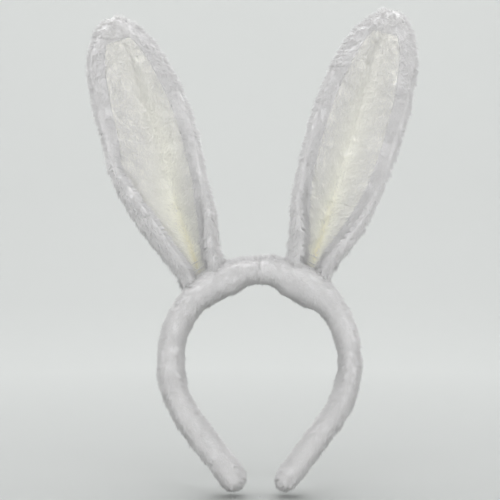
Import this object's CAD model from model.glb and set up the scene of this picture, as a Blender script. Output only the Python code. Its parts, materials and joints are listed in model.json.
import json
from math import cos, pi, radians, sin

import bpy
import numpy as np
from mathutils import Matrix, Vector

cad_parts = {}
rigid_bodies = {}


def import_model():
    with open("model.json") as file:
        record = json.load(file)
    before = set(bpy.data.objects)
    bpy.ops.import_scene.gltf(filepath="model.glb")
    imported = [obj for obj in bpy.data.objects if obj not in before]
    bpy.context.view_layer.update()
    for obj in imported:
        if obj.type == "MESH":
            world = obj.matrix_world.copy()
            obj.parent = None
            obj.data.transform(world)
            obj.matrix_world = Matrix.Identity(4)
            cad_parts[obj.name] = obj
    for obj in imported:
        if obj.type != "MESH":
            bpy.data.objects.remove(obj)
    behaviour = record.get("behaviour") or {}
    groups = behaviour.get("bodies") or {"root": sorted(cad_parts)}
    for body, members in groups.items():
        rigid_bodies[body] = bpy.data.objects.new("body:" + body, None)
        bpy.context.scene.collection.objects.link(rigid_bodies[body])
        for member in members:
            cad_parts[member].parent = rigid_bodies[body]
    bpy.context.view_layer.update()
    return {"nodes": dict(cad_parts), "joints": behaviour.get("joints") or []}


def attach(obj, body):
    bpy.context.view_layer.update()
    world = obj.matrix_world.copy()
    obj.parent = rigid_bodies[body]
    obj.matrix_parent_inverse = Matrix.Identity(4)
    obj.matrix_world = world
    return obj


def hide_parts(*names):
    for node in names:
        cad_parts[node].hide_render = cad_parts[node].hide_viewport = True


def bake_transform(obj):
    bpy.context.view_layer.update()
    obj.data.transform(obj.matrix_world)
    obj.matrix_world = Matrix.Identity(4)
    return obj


# A white plush animal ears headband. Shapes are worked out in millimetres, in the CAD
# model's frame, and written to Blender in metres. +Z is up and the front faces -Y.

MM = 0.001
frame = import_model()
nodes = frame["nodes"]
joints = {joint["name"]: joint for joint in frame["joints"]}

# Camera: level, straight at the front
VIEW_CENTRE_X = -7.3
VIEW_CENTRE_Z = 78.1
VIEW_DISTANCE = 859.0
LENS = 85.0
camera = bpy.data.objects.new("camera", bpy.data.cameras.new("camera"))
camera.data.lens = LENS
camera.data.clip_end = 20
camera.location = (VIEW_CENTRE_X * MM, -VIEW_DISTANCE * MM, VIEW_CENTRE_Z * MM)
camera.rotation_euler = (pi / 2, 0, 0)
bpy.context.scene.collection.objects.link(camera)
bpy.context.scene.camera = camera

# Band: its centreline, and the cloth skin that carries the pile
CROWN_RADIUS = 64.5
FLEX_TURN = 64.0
LEG_RADIUS = 71.8
LEG_TURN = 127.0
LEG_STRAIGHT = 52.0
CROWN_RUN = CROWN_RADIUS * radians(FLEX_TURN)
BEND_RUN = LEG_RADIUS * radians(LEG_TURN - FLEX_TURN)
SKIN_RADIAL = 7.3
SKIN_DEPTH = 11.2
CAP_LENGTH = 7.0
BAND_ROWS = 100
BAND_COLUMNS = 36
PINNED_DEPTH = 10.6
JOIN_ROWS = 5
BAND_THICKNESS = {-1: 1.04, 1: 0.87}
BULGE_TURN = 29.0
BULGE_SPREAD = 16.0
BULGE_INWARD = {-1: 3.4, 1: 6.0}
CROWN_FULLNESS = 1.5

# Ear. Each table goes from a height above the tilt axis to the value there: the cloth's half
# width, how far behind the axis its middle is, how many degrees it curls forward to each rim,
# how deep that curl is kept, and how deep the fold down the middle is. The rolled tables are
# for the left ear's outer side. The extras widen an ear's outer or inner side.
EAR_TOP = 189.0
SPLIT = 42.0
HALF_WIDTHS = {
    0: 19.5, 14: 20.8, 28: 25.3, 43: 29.4, 58: 32.0, 75: 33.9, 105: 34.5, 123: 33.2,
    138: 30.9, 152: 28.0, 163: 24.6, 172: 20.2, 179: 15.4, 184: 10.9, 187: 7.2, 189: 2.0,
}
BACK_DEPTHS = {0: 8.0, 14: 7.6, 35: 6.0, 60: 3.6, 100: 1.6, 189: 1.2}
CURLS = {0: 142.0, 14: 134.0, 30: 112.0, 45: 90.0, 60: 70.0, 80: 50.0, 100: 36.0, 189: 31.0}
FLATS = {0: 0.50, 14: 0.52, 30: 0.56, 60: 0.75, 90: 0.95, 189: 1.0}
CREASES = {0: 5.0, 30: 5.0, 60: 3.5, 85: 2.0, 120: 0.5, 150: 0.0, 189: 0.0}
CREASE_WIDTH = 9.0
OUTER_EXTRA = {0: -5.5, 8: -4.6, 16: -2.6, 28: -1.4, 42: -0.8, 58: 0.0, 90: 1.0, 115: 2.2,
               140: 3.8, 165: 4.2, 180: 2.6, 189: 0.0}
INNER_EXTRA = {-1: {0: 0.0, 20: -1.5, 40: -2.8, 60: -2.8, 80: -1.2, 100: 0.0, 189: 0.0},
               1: {0: 0.0, 189: 0.0}}
TIP_SHIFT = 4.6
ROLLED_CURLS = {0: 148.0, 14: 146.0, 30: 139.0, 50: 130.0, 72: 118.0, 88: 92.0, 104: 58.0,
                125: 36.0, 189: 31.0}
ROLLED_FLATS = {0: 0.50, 20: 0.53, 45: 0.45, 72: 0.42, 90: 0.55, 110: 0.85, 125: 1.0, 189: 1.0}
BOW = {-1: 2.2, 1: 1.5}
HALF_THICKNESS = 4.3
BORDER = 11.0
STRIPE_SHIFT = {-1: {0: 0.0, 36: 0.0, 56: 2.0, 81: 8.0, 121: 6.5, 156: 2.5, 189: 0.0},
                1: {0: 0.0, 189: 0.0}}
EAR_ROWS = 64
FRONT_COLUMNS = 28
PANEL_TOP = 172.0
PANEL_SHARE = 0.56
PINNED_RIM = 0.985

# Ear's foot: how far it sinks into the band's pile, and how it follows the band's roundness
FOOT_SINK = 10.5
FOOT_HUG = 0.06
FOOT_HUG_LIMIT = 11.0
BAND_OUTER = 74.5
HEM_HALF_LENGTH = 18.5
HEM_HALF_DEPTH = 7.6

# Ear's inside: the rim wire's lowest and highest run, and its radius
WIRE_LOW = 16.0
WIRE_TOP = 183.0
WIRE_RADIUS = 0.7
WADDING_LOW = 20.0
WADDING_SHARE = 0.7

WAVES = 7
TUBE_SIDES = 8

# Cloth thickness, and how the simulation fills it: pressure, and the furthest a point moves
COVER_THICKNESS = 1.0
SKIN_THICKNESS = 0.8
BAND_FILL = (3.0, 1.0)
EAR_FILL = (4.0, 2.4)
FILL_FRAMES = 20

# Pile: tufts per square millimetre, and a tuft's length and half width. A tuft leans from
# the surface's normal by the first angle at its root and by the second at its tip. NAP is how
# far a tuft's own roundness turns its shading away from the surface's.
PILES = {"band": (1.45, 4.4, 0.27), "back": (1.4, 4.9, 0.27), "border": (1.5, 4.7, 0.27),
         "inner": (1.8, 4.4, 0.26)}
PILE_LEAN = (30.0, 60.0)
ROOT_DEPTH = 0.25
NAP = 0.6


# Tools for shapes


def table(values, at):
    """Reads a smooth curve through a table of heights and values."""
    keys = np.array(sorted(values), float)
    heights = np.array([values[key] for key in sorted(values)], float)
    slopes = np.gradient(heights, keys)
    at = np.clip(np.asarray(at, float), keys[0], keys[-1])
    place = np.clip(np.searchsorted(keys, at) - 1, 0, len(keys) - 2)
    step = keys[place + 1] - keys[place]
    t = (at - keys[place]) / step
    rise = heights[place + 1] - heights[place]
    low = np.clip(slopes[place] * step, -3 * abs(rise), 3 * abs(rise))
    high = np.clip(slopes[place + 1] * step, -3 * abs(rise), 3 * abs(rise))
    return (heights[place] + (3 * rise - 2 * low - high) * t ** 2
            + (low + high - 2 * rise) * t ** 3 + low * t)


def unit(vectors):
    """The vectors, each made one unit long."""
    return vectors / np.maximum(np.linalg.norm(vectors, axis=-1, keepdims=True), 1e-9)


def ripple(points, length, seed):
    """Smooth random values, about -1 to 1, that vary over a length."""
    rng = np.random.default_rng(seed)
    total = np.zeros(points.shape[:-1])
    for _ in range(WAVES):
        way = rng.normal(size=3)
        way = way / np.linalg.norm(way) * 2 * pi / (length * rng.uniform(0.7, 1.6))
        total += np.sin(points @ way + rng.uniform(0, 2 * pi))
    return total / WAVES ** 0.5


def swirl(points, length, seed):
    """A smooth random vector at each point."""
    return np.stack([ripple(points, length, seed + axis) for axis in range(3)], axis=-1)


def make_object(name, points, faces, material):
    """Makes a mesh from points in millimetres and arrays of faces."""
    mesh = bpy.data.meshes.new(name)
    sizes = np.concatenate([np.full(len(group), group.shape[1]) for group in faces])
    corners = np.concatenate([group.ravel() for group in faces])
    mesh.vertices.add(len(points))
    mesh.vertices.foreach_set("co", (points * MM).astype(np.float32).ravel())
    mesh.loops.add(len(corners))
    mesh.loops.foreach_set("vertex_index", corners.astype(np.int32))
    mesh.polygons.add(len(sizes))
    mesh.polygons.foreach_set("loop_start", (np.cumsum(sizes) - sizes).astype(np.int32))
    mesh.update(calc_edges=True)
    mesh.polygons.foreach_set("use_smooth", np.full(len(sizes), True))
    mesh.materials.append(material)
    thing = bpy.data.objects.new(name, mesh)
    bpy.context.scene.collection.objects.link(thing)
    return thing


def grid_normals(grid):
    """The normals of a grid whose columns run round in a loop, and its way along the rows."""
    across = np.roll(grid, -1, axis=1) - np.roll(grid, 1, axis=1)
    along = np.gradient(grid, axis=0)
    return unit(np.cross(across, along)), unit(along)


def grid_faces(rows, columns, keep=None):
    """The four-sided faces of a grid whose columns run round in a loop."""
    index = np.arange(rows * columns).reshape(rows, columns)
    beside = np.roll(index, -1, axis=1)
    faces = np.stack([index[:-1], beside[:-1], beside[1:], index[1:]], axis=-1)
    return faces.reshape(-1, 4) if keep is None else faces[keep]


def compact(points, faces):
    """Drops the points that no face uses."""
    used, inverse = np.unique(faces, return_inverse=True)
    return points[used], inverse.reshape(faces.shape)


def round_off(thing, levels):
    rounding = thing.modifiers.new("rounding", "SUBSURF")
    rounding.levels = rounding.render_levels = levels


def thicken(thing, thickness, offset=-1):
    solid = thing.modifiers.new("thickness", "SOLIDIFY")
    solid.thickness = thickness * MM
    solid.offset = offset


def cloth_piece(name, points, faces, material, thickness):
    """A skin of cloth with a real thickness, its outside where the grid is."""
    points, faces = compact(points.reshape(-1, 3), faces)
    thing = make_object(name, points, [faces], material)
    round_off(thing, 1)
    thicken(thing, thickness)
    return thing


def puff(thing, pinned, pressure, cap):
    """Fills a skin with a little pressure. No point moves further than the cap."""
    mesh = thing.data
    before = np.zeros(len(mesh.vertices) * 3, np.float32)
    mesh.vertices.foreach_get("co", before)
    before = before.reshape(-1, 3)
    group = thing.vertex_groups.new(name="pinned")
    group.add([int(index) for index in pinned], 1.0, "REPLACE")
    cloth = thing.modifiers.new("cloth", "CLOTH")
    cloth.settings.quality = 6
    cloth.settings.mass = 0.2
    cloth.settings.tension_stiffness = 12
    cloth.settings.compression_stiffness = 12
    cloth.settings.shear_stiffness = 6
    cloth.settings.bending_stiffness = 0.4
    cloth.settings.use_pressure = True
    cloth.settings.uniform_pressure_force = pressure
    cloth.settings.vertex_group_mass = "pinned"
    cloth.settings.effector_weights.gravity = 0
    cloth.collision_settings.use_collision = False
    scene = bpy.context.scene
    for step in range(1, FILL_FRAMES + 1):
        scene.frame_set(step)
    graph = bpy.context.evaluated_depsgraph_get()
    filled = thing.evaluated_get(graph)
    after = np.zeros(len(before) * 3, np.float32)
    filled.data.vertices.foreach_get("co", after)
    after = after.reshape(-1, 3)
    moved = after - before
    far = np.linalg.norm(moved, axis=1, keepdims=True)
    moved *= np.minimum(1, cap * MM / np.maximum(far, 1e-9))
    thing.modifiers.remove(cloth)
    thing.vertex_groups.remove(group)
    mesh.vertices.foreach_set("co", (before + moved).ravel())
    mesh.update()
    scene.frame_set(1)


def read_points(thing):
    """A mesh's points, in millimetres."""
    points = np.zeros(len(thing.data.vertices) * 3, np.float32)
    thing.data.vertices.foreach_get("co", points)
    return points.reshape(-1, 3).astype(float) / MM


# Materials


class Nodes:
    """A short way to write a material's nodes."""

    def __init__(self, name):
        self.material = bpy.data.materials.new(name)
        self.material.use_nodes = True
        self.tree = self.material.node_tree
        self.shader = self.tree.nodes["Principled BSDF"]

    def add(self, kind, inputs=None, **settings):
        node = self.tree.nodes.new(kind)
        for name, value in settings.items():
            setattr(node, name, value)
        for name, value in (inputs or {}).items():
            if isinstance(value, bpy.types.NodeSocket):
                self.tree.links.new(value, node.inputs[name])
            else:
                node.inputs[name].default_value = value
        return node

    def ramp(self, value, stops):
        node = self.add("ShaderNodeValToRGB", {"Fac": value})
        while len(node.color_ramp.elements) < len(stops):
            node.color_ramp.elements.new(0.5)
        for element, (position, colour) in zip(node.color_ramp.elements, stops):
            element.position = position
            element.color = (*colour, 1)
        return node.outputs["Color"]

    def set(self, **values):
        for name, value in values.items():
            socket = self.shader.inputs[name.replace("_", " ")]
            if isinstance(value, bpy.types.NodeSocket):
                self.tree.links.new(value, socket)
            else:
                socket.default_value = value
        return self.material

    def position(self):
        return self.add("ShaderNodeNewGeometry").outputs["Position"]

    def bump(self, height, strength, distance):
        node = self.add("ShaderNodeBump",
                        {"Height": height, "Strength": strength, "Distance": distance})
        return node.outputs["Normal"]


WHITE = (0.62, 0.612, 0.616)
SHADE = (0.58, 0.575, 0.58)


def pile_material(name, light, dark):
    """Plush pile: tint runs from white to the deep cream of the fold, tone from root to tip."""
    make = Nodes(name)
    tint = make.add("ShaderNodeAttribute", attribute_name="tint").outputs["Fac"]
    tone = make.add("ShaderNodeAttribute", attribute_name="tone").outputs["Fac"]
    colour = make.ramp(tint, [(0.0, light), (0.45, (0.90, 0.892, 0.80)),
                              (0.75, (0.89, 0.865, 0.70)), (1.0, (0.85, 0.77, 0.54))])
    depth = make.ramp(tone, [(0.0, dark), (0.5, (0.9, 0.9, 0.905)), (1.0, (1.0, 1.0, 1.0))])
    mixed = make.add("ShaderNodeMix", data_type="RGBA", blend_type="MULTIPLY")
    mixed.inputs["Factor"].default_value = 1
    make.tree.links.new(colour, mixed.inputs["A"])
    make.tree.links.new(depth, mixed.inputs["B"])
    return make.set(Base_Color=mixed.outputs["Result"], Roughness=0.85, Sheen_Weight=0.25,
                    Sheen_Roughness=0.6, Specular_IOR_Level=0.2)


def cloth_material(name, light, dark, size, depth=0.0002):
    """Knitted backing cloth, with fine loops and soft patches of colour."""
    make = Nodes(name)
    place = make.position()
    loops = make.add("ShaderNodeTexVoronoi", {"Vector": place, "Scale": 1 / size})
    patches = make.add("ShaderNodeTexNoise", {"Vector": place, "Scale": 90, "Detail": 4})
    mix = make.add("ShaderNodeMath", {0: loops.outputs["Distance"], 1: patches.outputs["Fac"]},
                   operation="MULTIPLY")
    colour = make.ramp(mix.outputs["Value"], [(0.02, dark), (0.25, light)])
    return make.set(Base_Color=colour, Roughness=0.9, Sheen_Weight=0.2,
                    Normal=make.bump(loops.outputs["Distance"], 0.6, depth))


def thread_material(name, light, dark):
    """Twisted sewing thread."""
    make = Nodes(name)
    place = make.position()
    twist = make.add("ShaderNodeTexWave", {"Vector": place, "Scale": 900, "Distortion": 3},
                     bands_direction="DIAGONAL")
    colour = make.ramp(twist.outputs["Fac"], [(0.0, dark), (0.7, light)])
    return make.set(Base_Color=colour, Roughness=0.6, Sheen_Weight=0.3,
                    Normal=make.bump(twist.outputs["Fac"], 0.7, 0.0002))


def hard_material(name, light, dark, roughness, metallic):
    """A drawn wire or moulded strip, with fine marks along it."""
    make = Nodes(name)
    place = make.position()
    marks = make.add("ShaderNodeTexNoise",
                     {"Vector": place, "Scale": 600, "Detail": 6, "Roughness": 0.7})
    colour = make.ramp(marks.outputs["Fac"], [(0.3, dark), (0.7, light)])
    rough = make.add("ShaderNodeMapRange", {"Value": marks.outputs["Fac"],
                                            "To Min": roughness - 0.1, "To Max": roughness + 0.15})
    return make.set(Base_Color=colour, Roughness=rough.outputs["Result"], Metallic=metallic,
                    Normal=make.bump(marks.outputs["Fac"], 0.3, 0.0001))


plush = pile_material("white_plush_pile", WHITE, (0.94, 0.94, 0.945))
panel_plush = pile_material("inner_plush_pile", (0.68, 0.672, 0.66), (0.96, 0.96, 0.95))
backing = cloth_material("white_plush_backing", WHITE, SHADE, 0.0011)
panel_backing = cloth_material("inner_plush_backing", (0.74, 0.73, 0.69), (0.69, 0.68, 0.63),
                               0.0009)
wadding = cloth_material("wadding_fibre", (0.86, 0.86, 0.86), (0.7, 0.7, 0.71), 0.0025, 0.0008)
seam_cloth = cloth_material("seam_cloth_weave", (0.62, 0.615, 0.615), (0.52, 0.52, 0.53), 0.0006)
tape = cloth_material("cloth_tape_weave", (0.70, 0.68, 0.63), (0.5, 0.48, 0.44), 0.0005)
thread = thread_material("sewing_thread", (0.64, 0.635, 0.63), (0.5, 0.5, 0.5))
steel = hard_material("coated_wire", (0.62, 0.62, 0.64), (0.4, 0.4, 0.42), 0.35, 1.0)
strip = hard_material("moulded_strip", (0.75, 0.75, 0.73), (0.62, 0.62, 0.6), 0.4, 0.0)


# Pile


def places_on(grid, keep, density, rng):
    """Random places on the kept cells of a grid, as a function that reads a grid there."""
    a, b = grid[:-1], np.roll(grid, -1, axis=1)[:-1]
    d, c = grid[1:], np.roll(grid, -1, axis=1)[1:]
    area = np.linalg.norm(np.cross(c - a, d - b), axis=-1) / 2
    count = rng.poisson(area * density * keep)
    row, column = (np.repeat(index, count.ravel()) for index in
                   np.unravel_index(np.arange(count.size), count.shape))
    s, t = rng.random((2, len(row)))

    def read(values):
        beside = (column + 1) % values.shape[1]
        shape = (-1,) + (1,) * (values.ndim - 2)
        s_, t_ = s.reshape(shape), t.reshape(shape)
        return ((values[row, column] * (1 - s_) + values[row, beside] * s_) * (1 - t_)
                + (values[row + 1, column] * (1 - s_) + values[row + 1, beside] * s_) * t_)

    return read


def pile(name, root, normal, flow, length, width, tint, rng, material, shading=None):
    """Tufts of pile: three-sided, bent once, each closed, with their tips drawn together.

    They take their light and shade from the shading directions, or else from the normals.
    Their colour is read from the tint and tone of each point, which OFBake also holds.
    """
    count = len(root)
    shading = normal if shading is None else shading
    flow = flow + rng.normal(scale=0.3, size=(count, 3)) + 0.3 * swirl(root, 9, 11)
    flow = unit(flow - normal * np.sum(flow * normal, axis=1, keepdims=True))
    first, second = (radians(angle) for angle in PILE_LEAN)
    turn = rng.normal(scale=0.16, size=(count, 1)) + 0.07 * ripple(root, 7, 5)[:, None]
    stem = normal * np.cos(first + turn) + flow * np.sin(first + turn)
    bent = normal * np.cos(second + turn) + flow * np.sin(second + turn)
    long = (length * rng.uniform(0.72, 1.15, count) * (1 + 0.12 * ripple(root, 12, 8)))[:, None]
    base = root - ROOT_DEPTH * normal
    middle = base + 0.5 * long * stem
    tip = middle + 0.5 * long * bent + 0.28 * swirl(root, 3.5, 21)
    side = unit(np.cross(stem, rng.normal(size=(count, 3))))
    other = np.cross(stem, side)
    points, facing = np.zeros((2, count, 7, 3))
    thick = (width * rng.uniform(0.75, 1.25, count))[:, None]
    for corner in range(3):
        angle = 2 * pi * corner / 3
        round_ = side * cos(angle) + other * sin(angle)
        points[:, corner] = base + thick * round_
        points[:, 3 + corner] = middle + 0.78 * thick * round_
        facing[:, corner] = facing[:, 3 + corner] = unit(shading + NAP * round_)
    points[:, 6] = tip
    facing[:, 6] = unit(shading + NAP * bent)
    start = 7 * np.arange(count)[:, None]
    bottom = start + np.array([[2, 1, 0]])
    walls = np.array([[[0, 1, 4, 3], [1, 2, 5, 4], [2, 0, 3, 5]]])
    walls = (start[:, :, None] + walls).reshape(-1, 4)
    ends = np.array([[[3, 4, 6], [4, 5, 6], [5, 3, 6]]])
    ends = (start[:, :, None] + ends).reshape(-1, 3)
    thing = make_object(name, points.reshape(-1, 3), [bottom, walls, ends], material)
    shade = rng.normal(scale=0.1, size=count) + 0.05 * ripple(root, 16, 31)
    tone = np.stack([0.12 + shade] * 3 + [0.5 + shade] * 3 + [0.84 + shade], axis=1)
    tone = np.clip(tone, 0.02, 0.98)
    tint = np.clip(np.repeat(tint[:, None], 7, axis=1), 0.01, 0.99)
    mesh = thing.data
    for attribute, values in (("tone", tone), ("tint", tint)):
        layer = mesh.attributes.new(attribute, "FLOAT", "POINT")
        layer.data.foreach_set("value", values.astype(np.float32).ravel())
    corners = np.zeros(len(mesh.loops), np.int32)
    mesh.loops.foreach_get("vertex_index", corners)
    nudge = 0.004 * np.array([0, 1, 1, 0])
    lift = 0.004 * np.array([0, 0, 1, 1])
    order = np.concatenate([np.tile(np.arange(3), count), np.tile(np.arange(4), 3 * count),
                            np.tile(np.arange(3), 3 * count)])
    across = tint.ravel()[corners] * 0.98 + nudge[order]
    up = tone.ravel()[corners] * 0.98 + lift[order]
    layer = mesh.uv_layers.new(name="OFBake")
    layer.data.foreach_set("uv", np.stack([across, up], axis=1).astype(np.float32).ravel())
    mesh.normals_split_custom_set_from_vertices(facing.reshape(-1, 3))
    return thing


# Band


def band_line(side, run):
    """The centreline's point, its outward direction and its turn, at runs from the top."""
    flex = radians(FLEX_TURN)
    turn = np.where(run < CROWN_RUN, run / CROWN_RADIUS,
                    flex + np.clip(run - CROWN_RUN, 0, BEND_RUN) / LEG_RADIUS)
    radius = np.where(run < CROWN_RUN, CROWN_RADIUS, LEG_RADIUS)
    shift = (radius - CROWN_RADIUS)[:, None] * np.array([sin(flex), cos(flex)])
    out = np.stack([side * np.sin(turn), 0 * turn, np.cos(turn)], axis=1)
    down = np.stack([side * np.cos(turn), 0 * turn, -np.sin(turn)], axis=1)
    point = out * radius[:, None] - np.stack([side * shift[:, 0], 0 * turn, shift[:, 1]], axis=1)
    point += down * np.maximum(run - CROWN_RUN - BEND_RUN, 0)[:, None]
    return point, out, np.degrees(turn)


def band_grid(side):
    """The band's skin from the top of the crown to one tip, as a grid of points."""
    total = CROWN_RUN + BEND_RUN + LEG_STRAIGHT
    end = total + CAP_LENGTH
    run = end * (1 - (1 - np.linspace(0, 1, BAND_ROWS)) ** 1.25)
    point, out, turn = band_line(side, run)
    into = np.clip((run - total) / CAP_LENGTH, 0, 1)
    cap = np.sqrt(np.maximum(1 - into ** 2, 0.0016))
    wide = BAND_THICKNESS[side]
    thick = SKIN_RADIAL * (1 + (wide - 1) * np.clip((turn - 50) / 30, 0, 1)) * cap
    foot = np.exp(-((turn - BULGE_TURN) / BULGE_SPREAD) ** 4)
    angle = 2 * pi * np.arange(BAND_COLUMNS) / BAND_COLUMNS
    across = np.sign(np.cos(angle)) * np.abs(np.cos(angle)) ** 0.8
    deep = np.sign(np.sin(angle)) * np.abs(np.sin(angle)) ** 0.8
    inward = np.where(across < 0, 1, 0)
    full = CROWN_FULLNESS * np.clip((80 - turn) / 30, 0, 1)
    radial = across * (thick[:, None] + foot[:, None] * np.where(inward, BULGE_INWARD[side], 1.0)
                       + full[:, None] * inward)
    depth = deep * ((SKIN_DEPTH + 0.8 * foot) * cap)[:, None]
    grid = point[:, None] + out[:, None] * radial[..., None]
    grid = grid + np.array([0, 1, 0]) * depth[..., None]
    normal, _ = grid_normals(grid)
    grid = grid + normal * (0.45 * ripple(grid, 26, 41))[..., None] * cap[:, None, None]
    if np.sum(normal * (grid - point[:, None])) < 0:
        grid = grid[:, ::-1]
    return grid, run


def make_band(side, name):
    """One half of the hoop's plush cover, with its pile, from the crown's top to one tip."""
    grid, run = band_grid(side)
    rows, columns = grid.shape[:2]
    faces = grid_faces(rows, columns)
    whole = make_object(f"{name}_band_cover", grid.reshape(-1, 3), [faces], backing)
    seam_columns = [c for c in range(columns) if abs(grid[2, c, 1]) > PINNED_DEPTH]
    fixed = [r * columns + c for r in range(rows) for c in seam_columns]
    fixed += list(range(2 * columns)) + list(range((rows - 3) * columns, rows * columns))
    puff(whole, sorted(set(fixed)), *BAND_FILL)
    plain, grid = grid, read_points(whole).reshape(rows, columns, 3)
    swell = np.linalg.norm(grid[JOIN_ROWS] - plain[JOIN_ROWS], axis=-1)[:, None]
    join = slice(JOIN_ROWS)
    grid[join] = plain[join] + grid_normals(plain)[0][join] * swell
    last = (rows - 1) * columns + np.arange(columns)
    bpy.data.objects.remove(whole)
    points = np.concatenate([grid.reshape(-1, 3), grid[-1].mean(axis=0, keepdims=True)])
    tip = np.stack([last, np.roll(last, -1), np.full(columns, rows * columns)], axis=1)
    cover = make_object(f"{name}_band_cover", points, [faces, tip], backing)
    round_off(cover, 1)
    thicken(cover, COVER_THICKNESS)
    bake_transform(cover)
    stands = (f"{name}_leg_cover",) if side > 0 else (f"{name}_leg_cover", "crown_cover")
    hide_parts(*stands)
    normal, along = grid_normals(grid)
    rng = np.random.default_rng(100 + side)
    half = rows // 2
    density, length, width = PILES["band"]
    for part, low, high in (("upper", 0, half), ("lower", half, rows - 1)):
        keep = np.zeros((rows - 1, columns))
        keep[low:high] = 1
        read = places_on(grid, keep, density, rng)
        root, out = read(grid), unit(read(normal))
        to_top = read(np.repeat(run[:, None], columns, axis=1))
        past_top = 5 * rng.random(len(root)) * np.exp(-to_top / 4)
        root = root - unit(read(along)) * past_top[:, None]
        down = np.clip(to_top / 34, 0, 1)[:, None]
        flow = read(along) * down + (1.15 - down) * np.array([0, 0, -1])
        near_seam = np.exp(-((root[:, 1] - SKIN_DEPTH) / 0.5) ** 2)
        tufts = pile(f"{name}_band_pile_{part}", root, out, flow,
                     length * (1 - 0.15 * near_seam), width,
                     np.zeros(len(root)) + 0.02, rng, plush)
        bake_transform(tufts)


# Ears


class Ear:
    """One ear's frame, shape and pieces."""

    def __init__(self, side, name):
        self.side, self.name = side, name
        tilt, fold = joints[f"{name}_ear_tilt"], joints[f"{name}_ear_fold"]
        self.centre = np.array(tilt["pos_m"]) / MM
        self.across = np.array(fold["axis"])
        self.up = np.array([-self.across[2], 0, self.across[0]])
        chord = np.array(tilt["axis"])
        self.out = np.array([-chord[2], 0, chord[0]])
        self.rng = np.random.default_rng(7 + side)

    def world(self, x, y, v):
        """A point of the ear's own frame, in the model's frame."""
        return (self.centre + x[..., None] * self.across + v[..., None] * self.up
                + y[..., None] * np.array([0, 1, 0]))

    def middle(self, u, v):
        """The middle surface between front and back: u is -1 to 1 from left rim to right."""
        outer = table(HALF_WIDTHS, v)
        reach = np.maximum(outer - 0.8 * HALF_THICKNESS * np.clip(outer / 18, 0.1, 1), 0.6)
        reach = reach + np.where(u * self.side > 0, table(OUTER_EXTRA, v),
                                 table(INNER_EXTRA[self.side], v))
        rolled = (u < 0) if self.side < 0 else np.zeros_like(u, bool)
        curl = np.radians(np.where(rolled, table(ROLLED_CURLS, v), table(CURLS, v)))
        flat = np.where(rolled, table(ROLLED_FLATS, v), table(FLATS, v))
        radius = reach / np.where(curl > pi / 2, 1, np.sin(curl))
        theta = u * curl
        x = radius * np.sin(theta) + self.side * BOW[self.side] * np.sin(pi * v / EAR_TOP)
        x = x + self.side * TIP_SHIFT * (v / EAR_TOP) ** 7
        y = table(BACK_DEPTHS, v) - flat * radius * (1 - np.cos(theta))
        y = y + table(CREASES, v) * (np.exp(-(radius * theta / CREASE_WIDTH) ** 2) - 0.5)
        foot = np.clip(1 - v / 44, 0, 1) ** 2
        lean = x * (self.across @ self.out)
        hug = np.minimum(FOOT_HUG * y ** 2, FOOT_HUG_LIMIT)
        bottom = (-FOOT_SINK - hug - x ** 2 / (2 * BAND_OUTER) - lean) / (self.up @ self.out)
        return self.world(x, y, v + bottom * foot)

    def panel_edge(self, v):
        """How far out the inner panel reaches, as a share of the way to the rim."""
        outer = table(HALF_WIDTHS, v)
        edge = 1 - BORDER / np.maximum(outer, BORDER)
        foot = np.clip((v - 6) / 50, 0, 1)
        return np.clip(edge * (0.35 + 0.65 * foot), 0.08, 0.9)

    def build_grid(self):
        """The ear's skin as a grid: across its front, then back across behind it."""
        rows = np.linspace(0, 1, EAR_ROWS)
        heights = EAR_TOP * (1 - (1 - rows) ** 1.35)
        half = FRONT_COLUMNS
        t = np.linspace(-1, 1, half + 1)
        inner = PANEL_SHARE
        v = heights[:, None] + 0 * t
        edge = self.panel_edge(v)
        top = np.clip((v - PANEL_TOP) / 8, 0, 1)
        edge = edge * (1 - top) + inner * top
        share = np.abs(t)
        out_share = np.clip((share - inner) / (1 - inner), 0, 1)
        u = np.sign(t) * np.where(share <= inner, share / inner * edge,
                                  edge + (1 - edge) * np.sin(out_share * pi / 2))
        outer = table(HALF_WIDTHS, v)
        thick = HALF_THICKNESS * np.clip(outer / 17, 0.12, 1)
        thick = thick * (0.45 + 0.55 * np.clip((v + 4) / 34, 0, 1))
        swell = thick * np.sqrt(np.clip(1 - np.abs(u) ** 5, 0, 1))
        mid = self.middle(u, v)
        step = 1e-3
        du = self.middle(np.clip(u + step, -1, 1), v) - self.middle(np.clip(u - step, -1, 1), v)
        dv = self.middle(u, v + step) - self.middle(u, v - step)
        facing = unit(np.cross(du, dv))
        front = mid + facing * swell[..., None]
        back = (mid - facing * swell[..., None])[:, ::-1]
        grid = np.concatenate([front, back[:, 1:-1]], axis=1)
        self.front_count = half + 1
        self.inner_columns = (t[:-1] + t[1:]) / 2
        self.u = np.concatenate([u, u[:, ::-1][:, 1:-1]], axis=1)
        self.v = np.concatenate([v, v[:, 1:-1]], axis=1)
        return grid

    def fill(self, grid):
        """Blows the sewn ear up a little between its rim, which the wire holds."""
        rows, columns = grid.shape[:2]
        faces = grid_faces(rows, columns)
        body = make_object("body", grid.reshape(-1, 3), [faces], backing)
        rim = np.abs(self.u) > PINNED_RIM
        rim[:5] = True
        rim[-3:] = True
        puff(body, np.flatnonzero(rim.ravel()), *EAR_FILL)
        grid = read_points(body).reshape(rows, columns, 3)
        bpy.data.objects.remove(body)
        return grid

    def zone_cells(self, zone, part):
        """Which cells of the grid belong to a zone, over the foot or the rest."""
        columns = self.grid.shape[1]
        front = np.arange(columns) < self.front_count - 1
        inside = np.zeros(columns, bool)
        inside[:self.front_count - 1] = np.abs(self.inner_columns) < PANEL_SHARE
        height = (self.v[:-1, :1] + self.v[1:, :1]) / 2
        panel = inside[None] & (height < PANEL_TOP)
        chosen = {"inner": panel, "border": front[None] & ~panel, "back": ~front[None]}[zone]
        return chosen & ((height < SPLIT) if part == "foot" else (height >= SPLIT))

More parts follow.
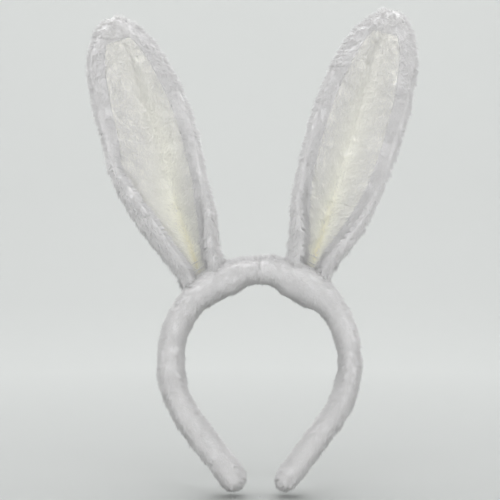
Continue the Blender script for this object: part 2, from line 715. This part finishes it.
    def attach(self, thing, part, *slots):
        """Bends a piece with the ear: the foot over the tilt, the rest over the fold."""
        if part == "foot":
            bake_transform(thing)
        else:
            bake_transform(thing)
        return thing

    def stand_for(self, thing, *names):
        """Says which of this ear's CAD nodes a piece stands for."""
        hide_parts(*(f"{self.name}_ear_{name}" for name in names))

    def make(self):
        self.grid = self.fill(self.build_grid())
        self.make_cloth()
        self.make_pile()
        self.make_inside()
        self.make_foot()

    def make_cloth(self):
        """The sewn skin of the ear: back, border and inner panel."""
        rows, columns = self.grid.shape[:2]
        for zone, material, slot in (("back", backing, "white_plush"),
                                     ("border", backing, "white_plush"),
                                     ("inner", panel_backing, "inner_plush")):
            for part in ("foot", "main"):
                faces = grid_faces(rows, columns, self.zone_cells(zone, part))
                skin = cloth_piece(f"{self.name}_ear_{zone}_cloth_{part}", self.grid, faces,
                                   material, SKIN_THICKNESS)
                self.attach(skin, part)
                name = "inner_panel" if zone == "inner" else f"{zone}_plush"
                if part == "main":
                    self.stand_for(skin, f"lower_{name}", f"upper_{name}")
                elif zone == "back":
                    self.stand_for(skin, "foot_gather")

    def make_pile(self):
        """The pile on each zone. Near the rim it is shaded as the rim is, so the edge is soft."""
        normal, along = grid_normals(self.grid)
        across = unit(np.roll(self.grid, -1, axis=1) - np.roll(self.grid, 1, axis=1))
        last = self.front_count - 1
        rim = np.where(self.u[..., None] < 0, normal[:, :1], normal[:, last:last + 1])
        rim = unit(rim + np.array([0, -0.5, 0]))
        for zone in ("back", "border", "inner"):
            density, length, width = PILES[zone]
            for part in ("foot", "main"):
                keep = self.zone_cells(zone, part).astype(float)
                read = places_on(self.grid, keep, density, self.rng)
                root, out = read(self.grid), unit(read(normal))
                u, v = read(self.u), read(self.v)
                flow = -read(along)
                if zone != "inner":
                    outward = np.sign(u) * np.clip((np.abs(u) - 0.55) / 0.45, 0, 1)
                    sign = 1 if zone == "border" else -1
                    flow = flow + sign * outward[:, None] * read(across) * 0.9
                tint = self.tints(zone, u, v)
                start = 0.9 if zone == "border" else 0.6
                near = np.clip((np.abs(u) - start) / (1 - start), 0, 1)[:, None]
                shading = unit(out * (1 - near) + read(rim) * near)
                long = length * (1 + 0.15 * np.clip(1 - v / 20, 0, 1))
                tufts = pile(f"{self.name}_ear_{zone}_pile_{part}", root, out, flow, long, width,
                             tint, self.rng, panel_plush if zone == "inner" else plush, shading)
                self.attach(tufts, part)

    def tints(self, zone, u, v):
        """How creamy the pile is: broad and faint high up, narrow and strong at the foot."""
        outer = table(HALF_WIDTHS, v)
        aside = u * outer - table(STRIPE_SHIFT[self.side], v)
        reach = 3.5 + 8.5 * np.clip((v - 8) / 60, 0, 1)
        strength = 0.9 - 0.48 * np.clip((v - 10) / 50, 0, 1) - 0.32 * np.clip((v - 60) / 100, 0, 1)
        soft = strength * np.exp(-(aside / reach) ** 2) * np.clip((v - 2) / 10, 0, 1)
        deep = 0.28 * np.clip(1 - v / 80, 0, 1) * np.clip(v / 10, 0, 1)
        if zone == "inner":
            return np.maximum(soft, deep)
        return (0.4 if zone == "border" else 0.0) * soft + 0.02

    def make_inside(self):
        """The wadding, the rim wire and the seam inside the ear."""
        centre = self.middle(self.u, self.v)
        inset = centre + (self.grid - centre) * WADDING_SHARE
        u_inner = self.u * 0.92
        inset = inset + self.middle(u_inner, self.v) - centre
        rows, columns = self.grid.shape[:2]
        chosen = np.zeros((rows - 1, columns), bool)
        first = int(np.searchsorted(self.v[:, 0], WADDING_LOW))
        chosen[first:rows - 3] = True
        points, faces = compact(inset.reshape(-1, 3), grid_faces(rows, columns, chosen))
        rim = self.front_count - 1
        front = np.arange(1, rim - 1)
        lid = np.stack([front, front + 1, columns - front - 1, columns - front], axis=1)
        sides = np.array([[0, 1, columns - 1], [rim - 1, rim, rim + 1]])
        top = len(points) - columns
        closed = [faces, lid[:, ::-1], lid + top, sides[:, ::-1], sides + top]
        filling = make_object(f"{self.name}_ear_wadding", points, closed, wadding)
        self.attach(filling, "main")
        self.stand_for(filling, "lower_padding", "upper_padding")
        rise = np.linspace(WIRE_LOW, WIRE_TOP, 60)
        heights = np.concatenate([rise, np.full(9, WIRE_TOP), np.linspace(WIRE_TOP, WIRE_LOW, 60)])
        shares = np.concatenate([np.full(60, -0.95), np.linspace(-0.9, 0.9, 9), np.full(60, 0.95)])
        wire = self.tube("rim_wire", self.middle(shares, heights), WIRE_RADIUS, steel)
        self.stand_for(wire, "lower_rim_wire", "upper_rim_wire")
        edge_v = np.concatenate([np.linspace(14, 186, 90), np.linspace(186, 14, 90)])
        edge_u = np.concatenate([np.full(90, -1.0), np.full(90, 1.0)])
        outer, inner = self.middle(edge_u * 0.995, edge_v), self.middle(edge_u * 0.9, edge_v)
        points = np.stack([outer, inner], axis=1).reshape(-1, 3)
        index = 2 * np.arange(len(edge_v) - 1)[:, None] + np.array([0, 1, 3, 2])
        allowance = make_object(f"{self.name}_ear_rim_seam", points, [index], seam_cloth)
        thicken(allowance, SKIN_THICKNESS, offset=0)
        self.attach(allowance, "main")
        self.stand_for(allowance, "lower_rim_seam", "upper_rim_seam")

    def tube(self, name, path, radius, material, part="main"):
        """A wire or thread along a path."""
        way = unit(np.gradient(path, axis=0))
        side = unit(np.cross(way, np.array([0, 1, 0.01])))
        other = np.cross(way, side)
        angle = 2 * pi * np.arange(TUBE_SIDES) / TUBE_SIDES
        ring = side[:, None] * np.cos(angle)[:, None] + other[:, None] * np.sin(angle)[:, None]
        grid = path[:, None] + radius * ring
        rows = len(path)
        last = (rows - 1) * TUBE_SIDES
        around = np.arange(TUBE_SIDES)
        beside = np.roll(around, -1)
        start, end = (np.full(TUBE_SIDES, rows * TUBE_SIDES + number) for number in range(2))
        caps = np.concatenate([np.stack([beside, around, start], axis=1),
                               np.stack([last + around, last + beside, end], axis=1)])
        faces = grid_faces(rows, TUBE_SIDES)
        points = np.concatenate([grid.reshape(-1, 3), path[:1], path[-1:]])
        thing = make_object(f"{self.name}_ear_{name}", points, [faces, caps], material)
        self.attach(thing, part)
        return thing

    def make_foot(self):
        """The hem under the foot, and the threads that hold foot and pleat."""
        chord = np.array(joints[f"{self.name}_ear_tilt"]["axis"])
        rows, columns = 9, 48
        angle = 2 * pi * np.arange(columns) / columns
        grid = np.zeros((rows, columns, 3))
        for row in range(rows):
            rise = row / (rows - 1)
            bulge = 0.9 + 0.1 * sin(pi * rise)
            gather = 1 + 0.05 * np.cos(12 * angle) * sin(pi * rise)
            size = bulge * gather
            along = size * np.sign(np.cos(angle)) * np.abs(np.cos(angle)) ** 0.7 * HEM_HALF_LENGTH
            deep = size * np.sign(np.sin(angle)) * np.abs(np.sin(angle)) ** 0.7 * HEM_HALF_DEPTH
            drop = -FOOT_SINK - 1.7 + 2.6 * rise - along ** 2 / (2 * BAND_OUTER)
            grid[row] = (self.centre + along[:, None] * chord
                         + deep[:, None] * np.array([0, 1, 0]) + drop[:, None] * self.out)
        low, high = np.arange(columns), (rows - 1) * columns + np.arange(columns)
        centres = np.stack([grid[0].mean(axis=0), grid[-1].mean(axis=0) + 0.6 * self.out])
        caps = np.concatenate([
            np.stack([np.roll(low, -1), low, np.full(columns, rows * columns)], axis=1),
            np.stack([high, np.roll(high, -1), np.full(columns, rows * columns + 1)], axis=1)])
        faces = grid_faces(rows, columns)
        points = np.concatenate([grid.reshape(-1, 3), centres])
        hem = make_object(f"{self.name}_ear_hem_cloth", points, [faces, caps], seam_cloth)
        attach(hem, "crown")
        self.stand_for(hem, "hem")
        for number, share in enumerate(np.linspace(-0.8, 0.8, 5)):
            for face in (-1, 1):
                turn = np.linspace(0.15 * pi, 0.95 * pi, 9)
                along = share * 17 + 0 * turn
                deep = face * (7.2 + 1.7 * np.cos(turn))
                rise = -FOOT_SINK + 1.0 + 1.6 * np.sin(turn) - along ** 2 / (2 * BAND_OUTER)
                path = (self.centre + along[:, None] * chord
                        + deep[:, None] * np.array([0, 1, 0]) + rise[:, None] * self.out)
                label = f"anchor_thread_{number}_{'front' if face < 0 else 'back'}"
                loop = self.tube(label, path, 0.45, thread, "foot")
                if number == 0 and face < 0:
                    self.stand_for(loop, "anchor_stitches")
        for number, height in enumerate((3.0, 6.5, 10.0)):
            ends = self.middle(np.array([-0.16, 0.16]), np.array([height, height]))
            t = np.linspace(0, 1, 9)[:, None]
            path = ends[0] * (1 - t) + ends[1] * t - np.array([0, 3.4, 0])
            loop = self.tube(f"pleat_thread_{number}", path, 0.4, thread, "foot")
            if number == 0:
                self.stand_for(loop, "pleat_stitches")


make_band(-1, "left")
make_band(1, "right")
for side, name in ((-1, "left"), (1, "right")):
    Ear(side, name).make()

# CAD pieces that keep their shape
for name, thing in nodes.items():
    if thing.hide_render:
        continue
    kinds = {"strip": strip, "seam": thread, "stitches": thread, "tape": tape}
    for ending, material in kinds.items():
        if name.endswith(ending):
            thing.data.materials.clear()
            thing.data.materials.append(material)

# Stage: a pale seamless bowl, lit softly
FLOOR = -101.5
BOWL = 2600.0
profile = [(0, 0), (500, 0), (1100, 0), (1500, 60), (1900, 220), (2250, 560), (2480, 1000),
           (BOWL, 1600), (BOWL, 2300), (BOWL, 3000)]
SEGMENTS = 64
angles = 2 * pi * np.arange(SEGMENTS) / SEGMENTS
ring = np.stack([np.cos(angles), np.sin(angles), 0 * angles], axis=1)
bowl_grid = np.array([ring * max(r, 1.0) + np.array([0, 0, z + FLOOR]) for r, z in profile])
bowl_faces = grid_faces(*bowl_grid.shape[:2])[:, ::-1]
bowl_paint = Nodes("backdrop_paint")
spread = bowl_paint.add("ShaderNodeVectorMath", {0: bowl_paint.position()}, operation="LENGTH")
spread = bowl_paint.add("ShaderNodeMapRange", {"Value": spread.outputs["Value"], "From Max": 2.0})
BACKDROP = ((0.0, 0.69), (0.22, 0.73), (0.45, 0.77), (0.75, 0.70), (1.0, 0.68))
bowl_paint.set(Base_Color=bowl_paint.ramp(spread.outputs["Result"], [
    (place, (0.985 * grey, grey, 0.985 * grey)) for place, grey in BACKDROP]), Roughness=0.95)
bowl = make_object("backdrop", bowl_grid.reshape(-1, 3), [bowl_faces], bowl_paint.material)
round_off(bowl, 2)


# The lights round the object leave out the bowl, which has lights of its own
subject = bpy.data.collections.new("subject")
for thing in bpy.context.scene.objects:
    if thing.type == "MESH" and thing is not bowl:
        subject.objects.link(thing)


def area_light(name, place, target, size, power, only=None):
    light = bpy.data.lights.new(name, "AREA")
    light.shape = "DISK"
    light.size = size
    light.energy = power
    thing = bpy.data.objects.new(name, light)
    thing.location = place
    thing.visible_camera = False
    thing.rotation_euler = (Vector(target) - Vector(place)).to_track_quat("-Z", "Y").to_euler()
    thing.light_linking.receiver_collection = only
    bpy.context.scene.collection.objects.link(thing)


area_light("key", (-0.6, -1.7, 0.85), (0, 0, 0.08), 1.8, 20.5, subject)
area_light("fill", (0.9, -1.7, 0.45), (0, 0, 0.08), 1.8, 19, subject)
area_light("left", (-1.7, -0.2, 0.35), (0, 0, 0.08), 1.4, 10, subject)
area_light("right", (1.7, -0.2, 0.35), (0, 0, 0.08), 1.4, 10, subject)
area_light("low", (0, -1.2, 0.05), (0, 0, 0.0), 0.7, 6, subject)
area_light("rear_left", (-0.9, 1.7, 0.7), (0, 0, 0.08), 1.6, 21, subject)
area_light("rear_right", (0.9, 1.7, 0.7), (0, 0, 0.08), 1.6, 21, subject)
area_light("top", (0, 0.4, 2.2), (0, 0.2, 0), 2.4, 5)
for number in range(4):
    turn = number * pi / 2
    out = Vector((sin(turn), cos(turn), 0))
    place, target = 1.1 * out + Vector((0, 0, 1.9)), 2.6 * out + Vector((0, 0, 0.5))
    area_light(f"wall_{number}", place, target, 1.2, 13.5)
world = bpy.data.worlds.new("room")
world.use_nodes = True
world.node_tree.nodes["Background"].inputs["Color"].default_value = (0.97, 0.98, 1.0, 1)
world.node_tree.nodes["Background"].inputs["Strength"].default_value = 0.55
bpy.context.scene.world = world
bpy.context.scene.view_settings.view_transform = "Standard"
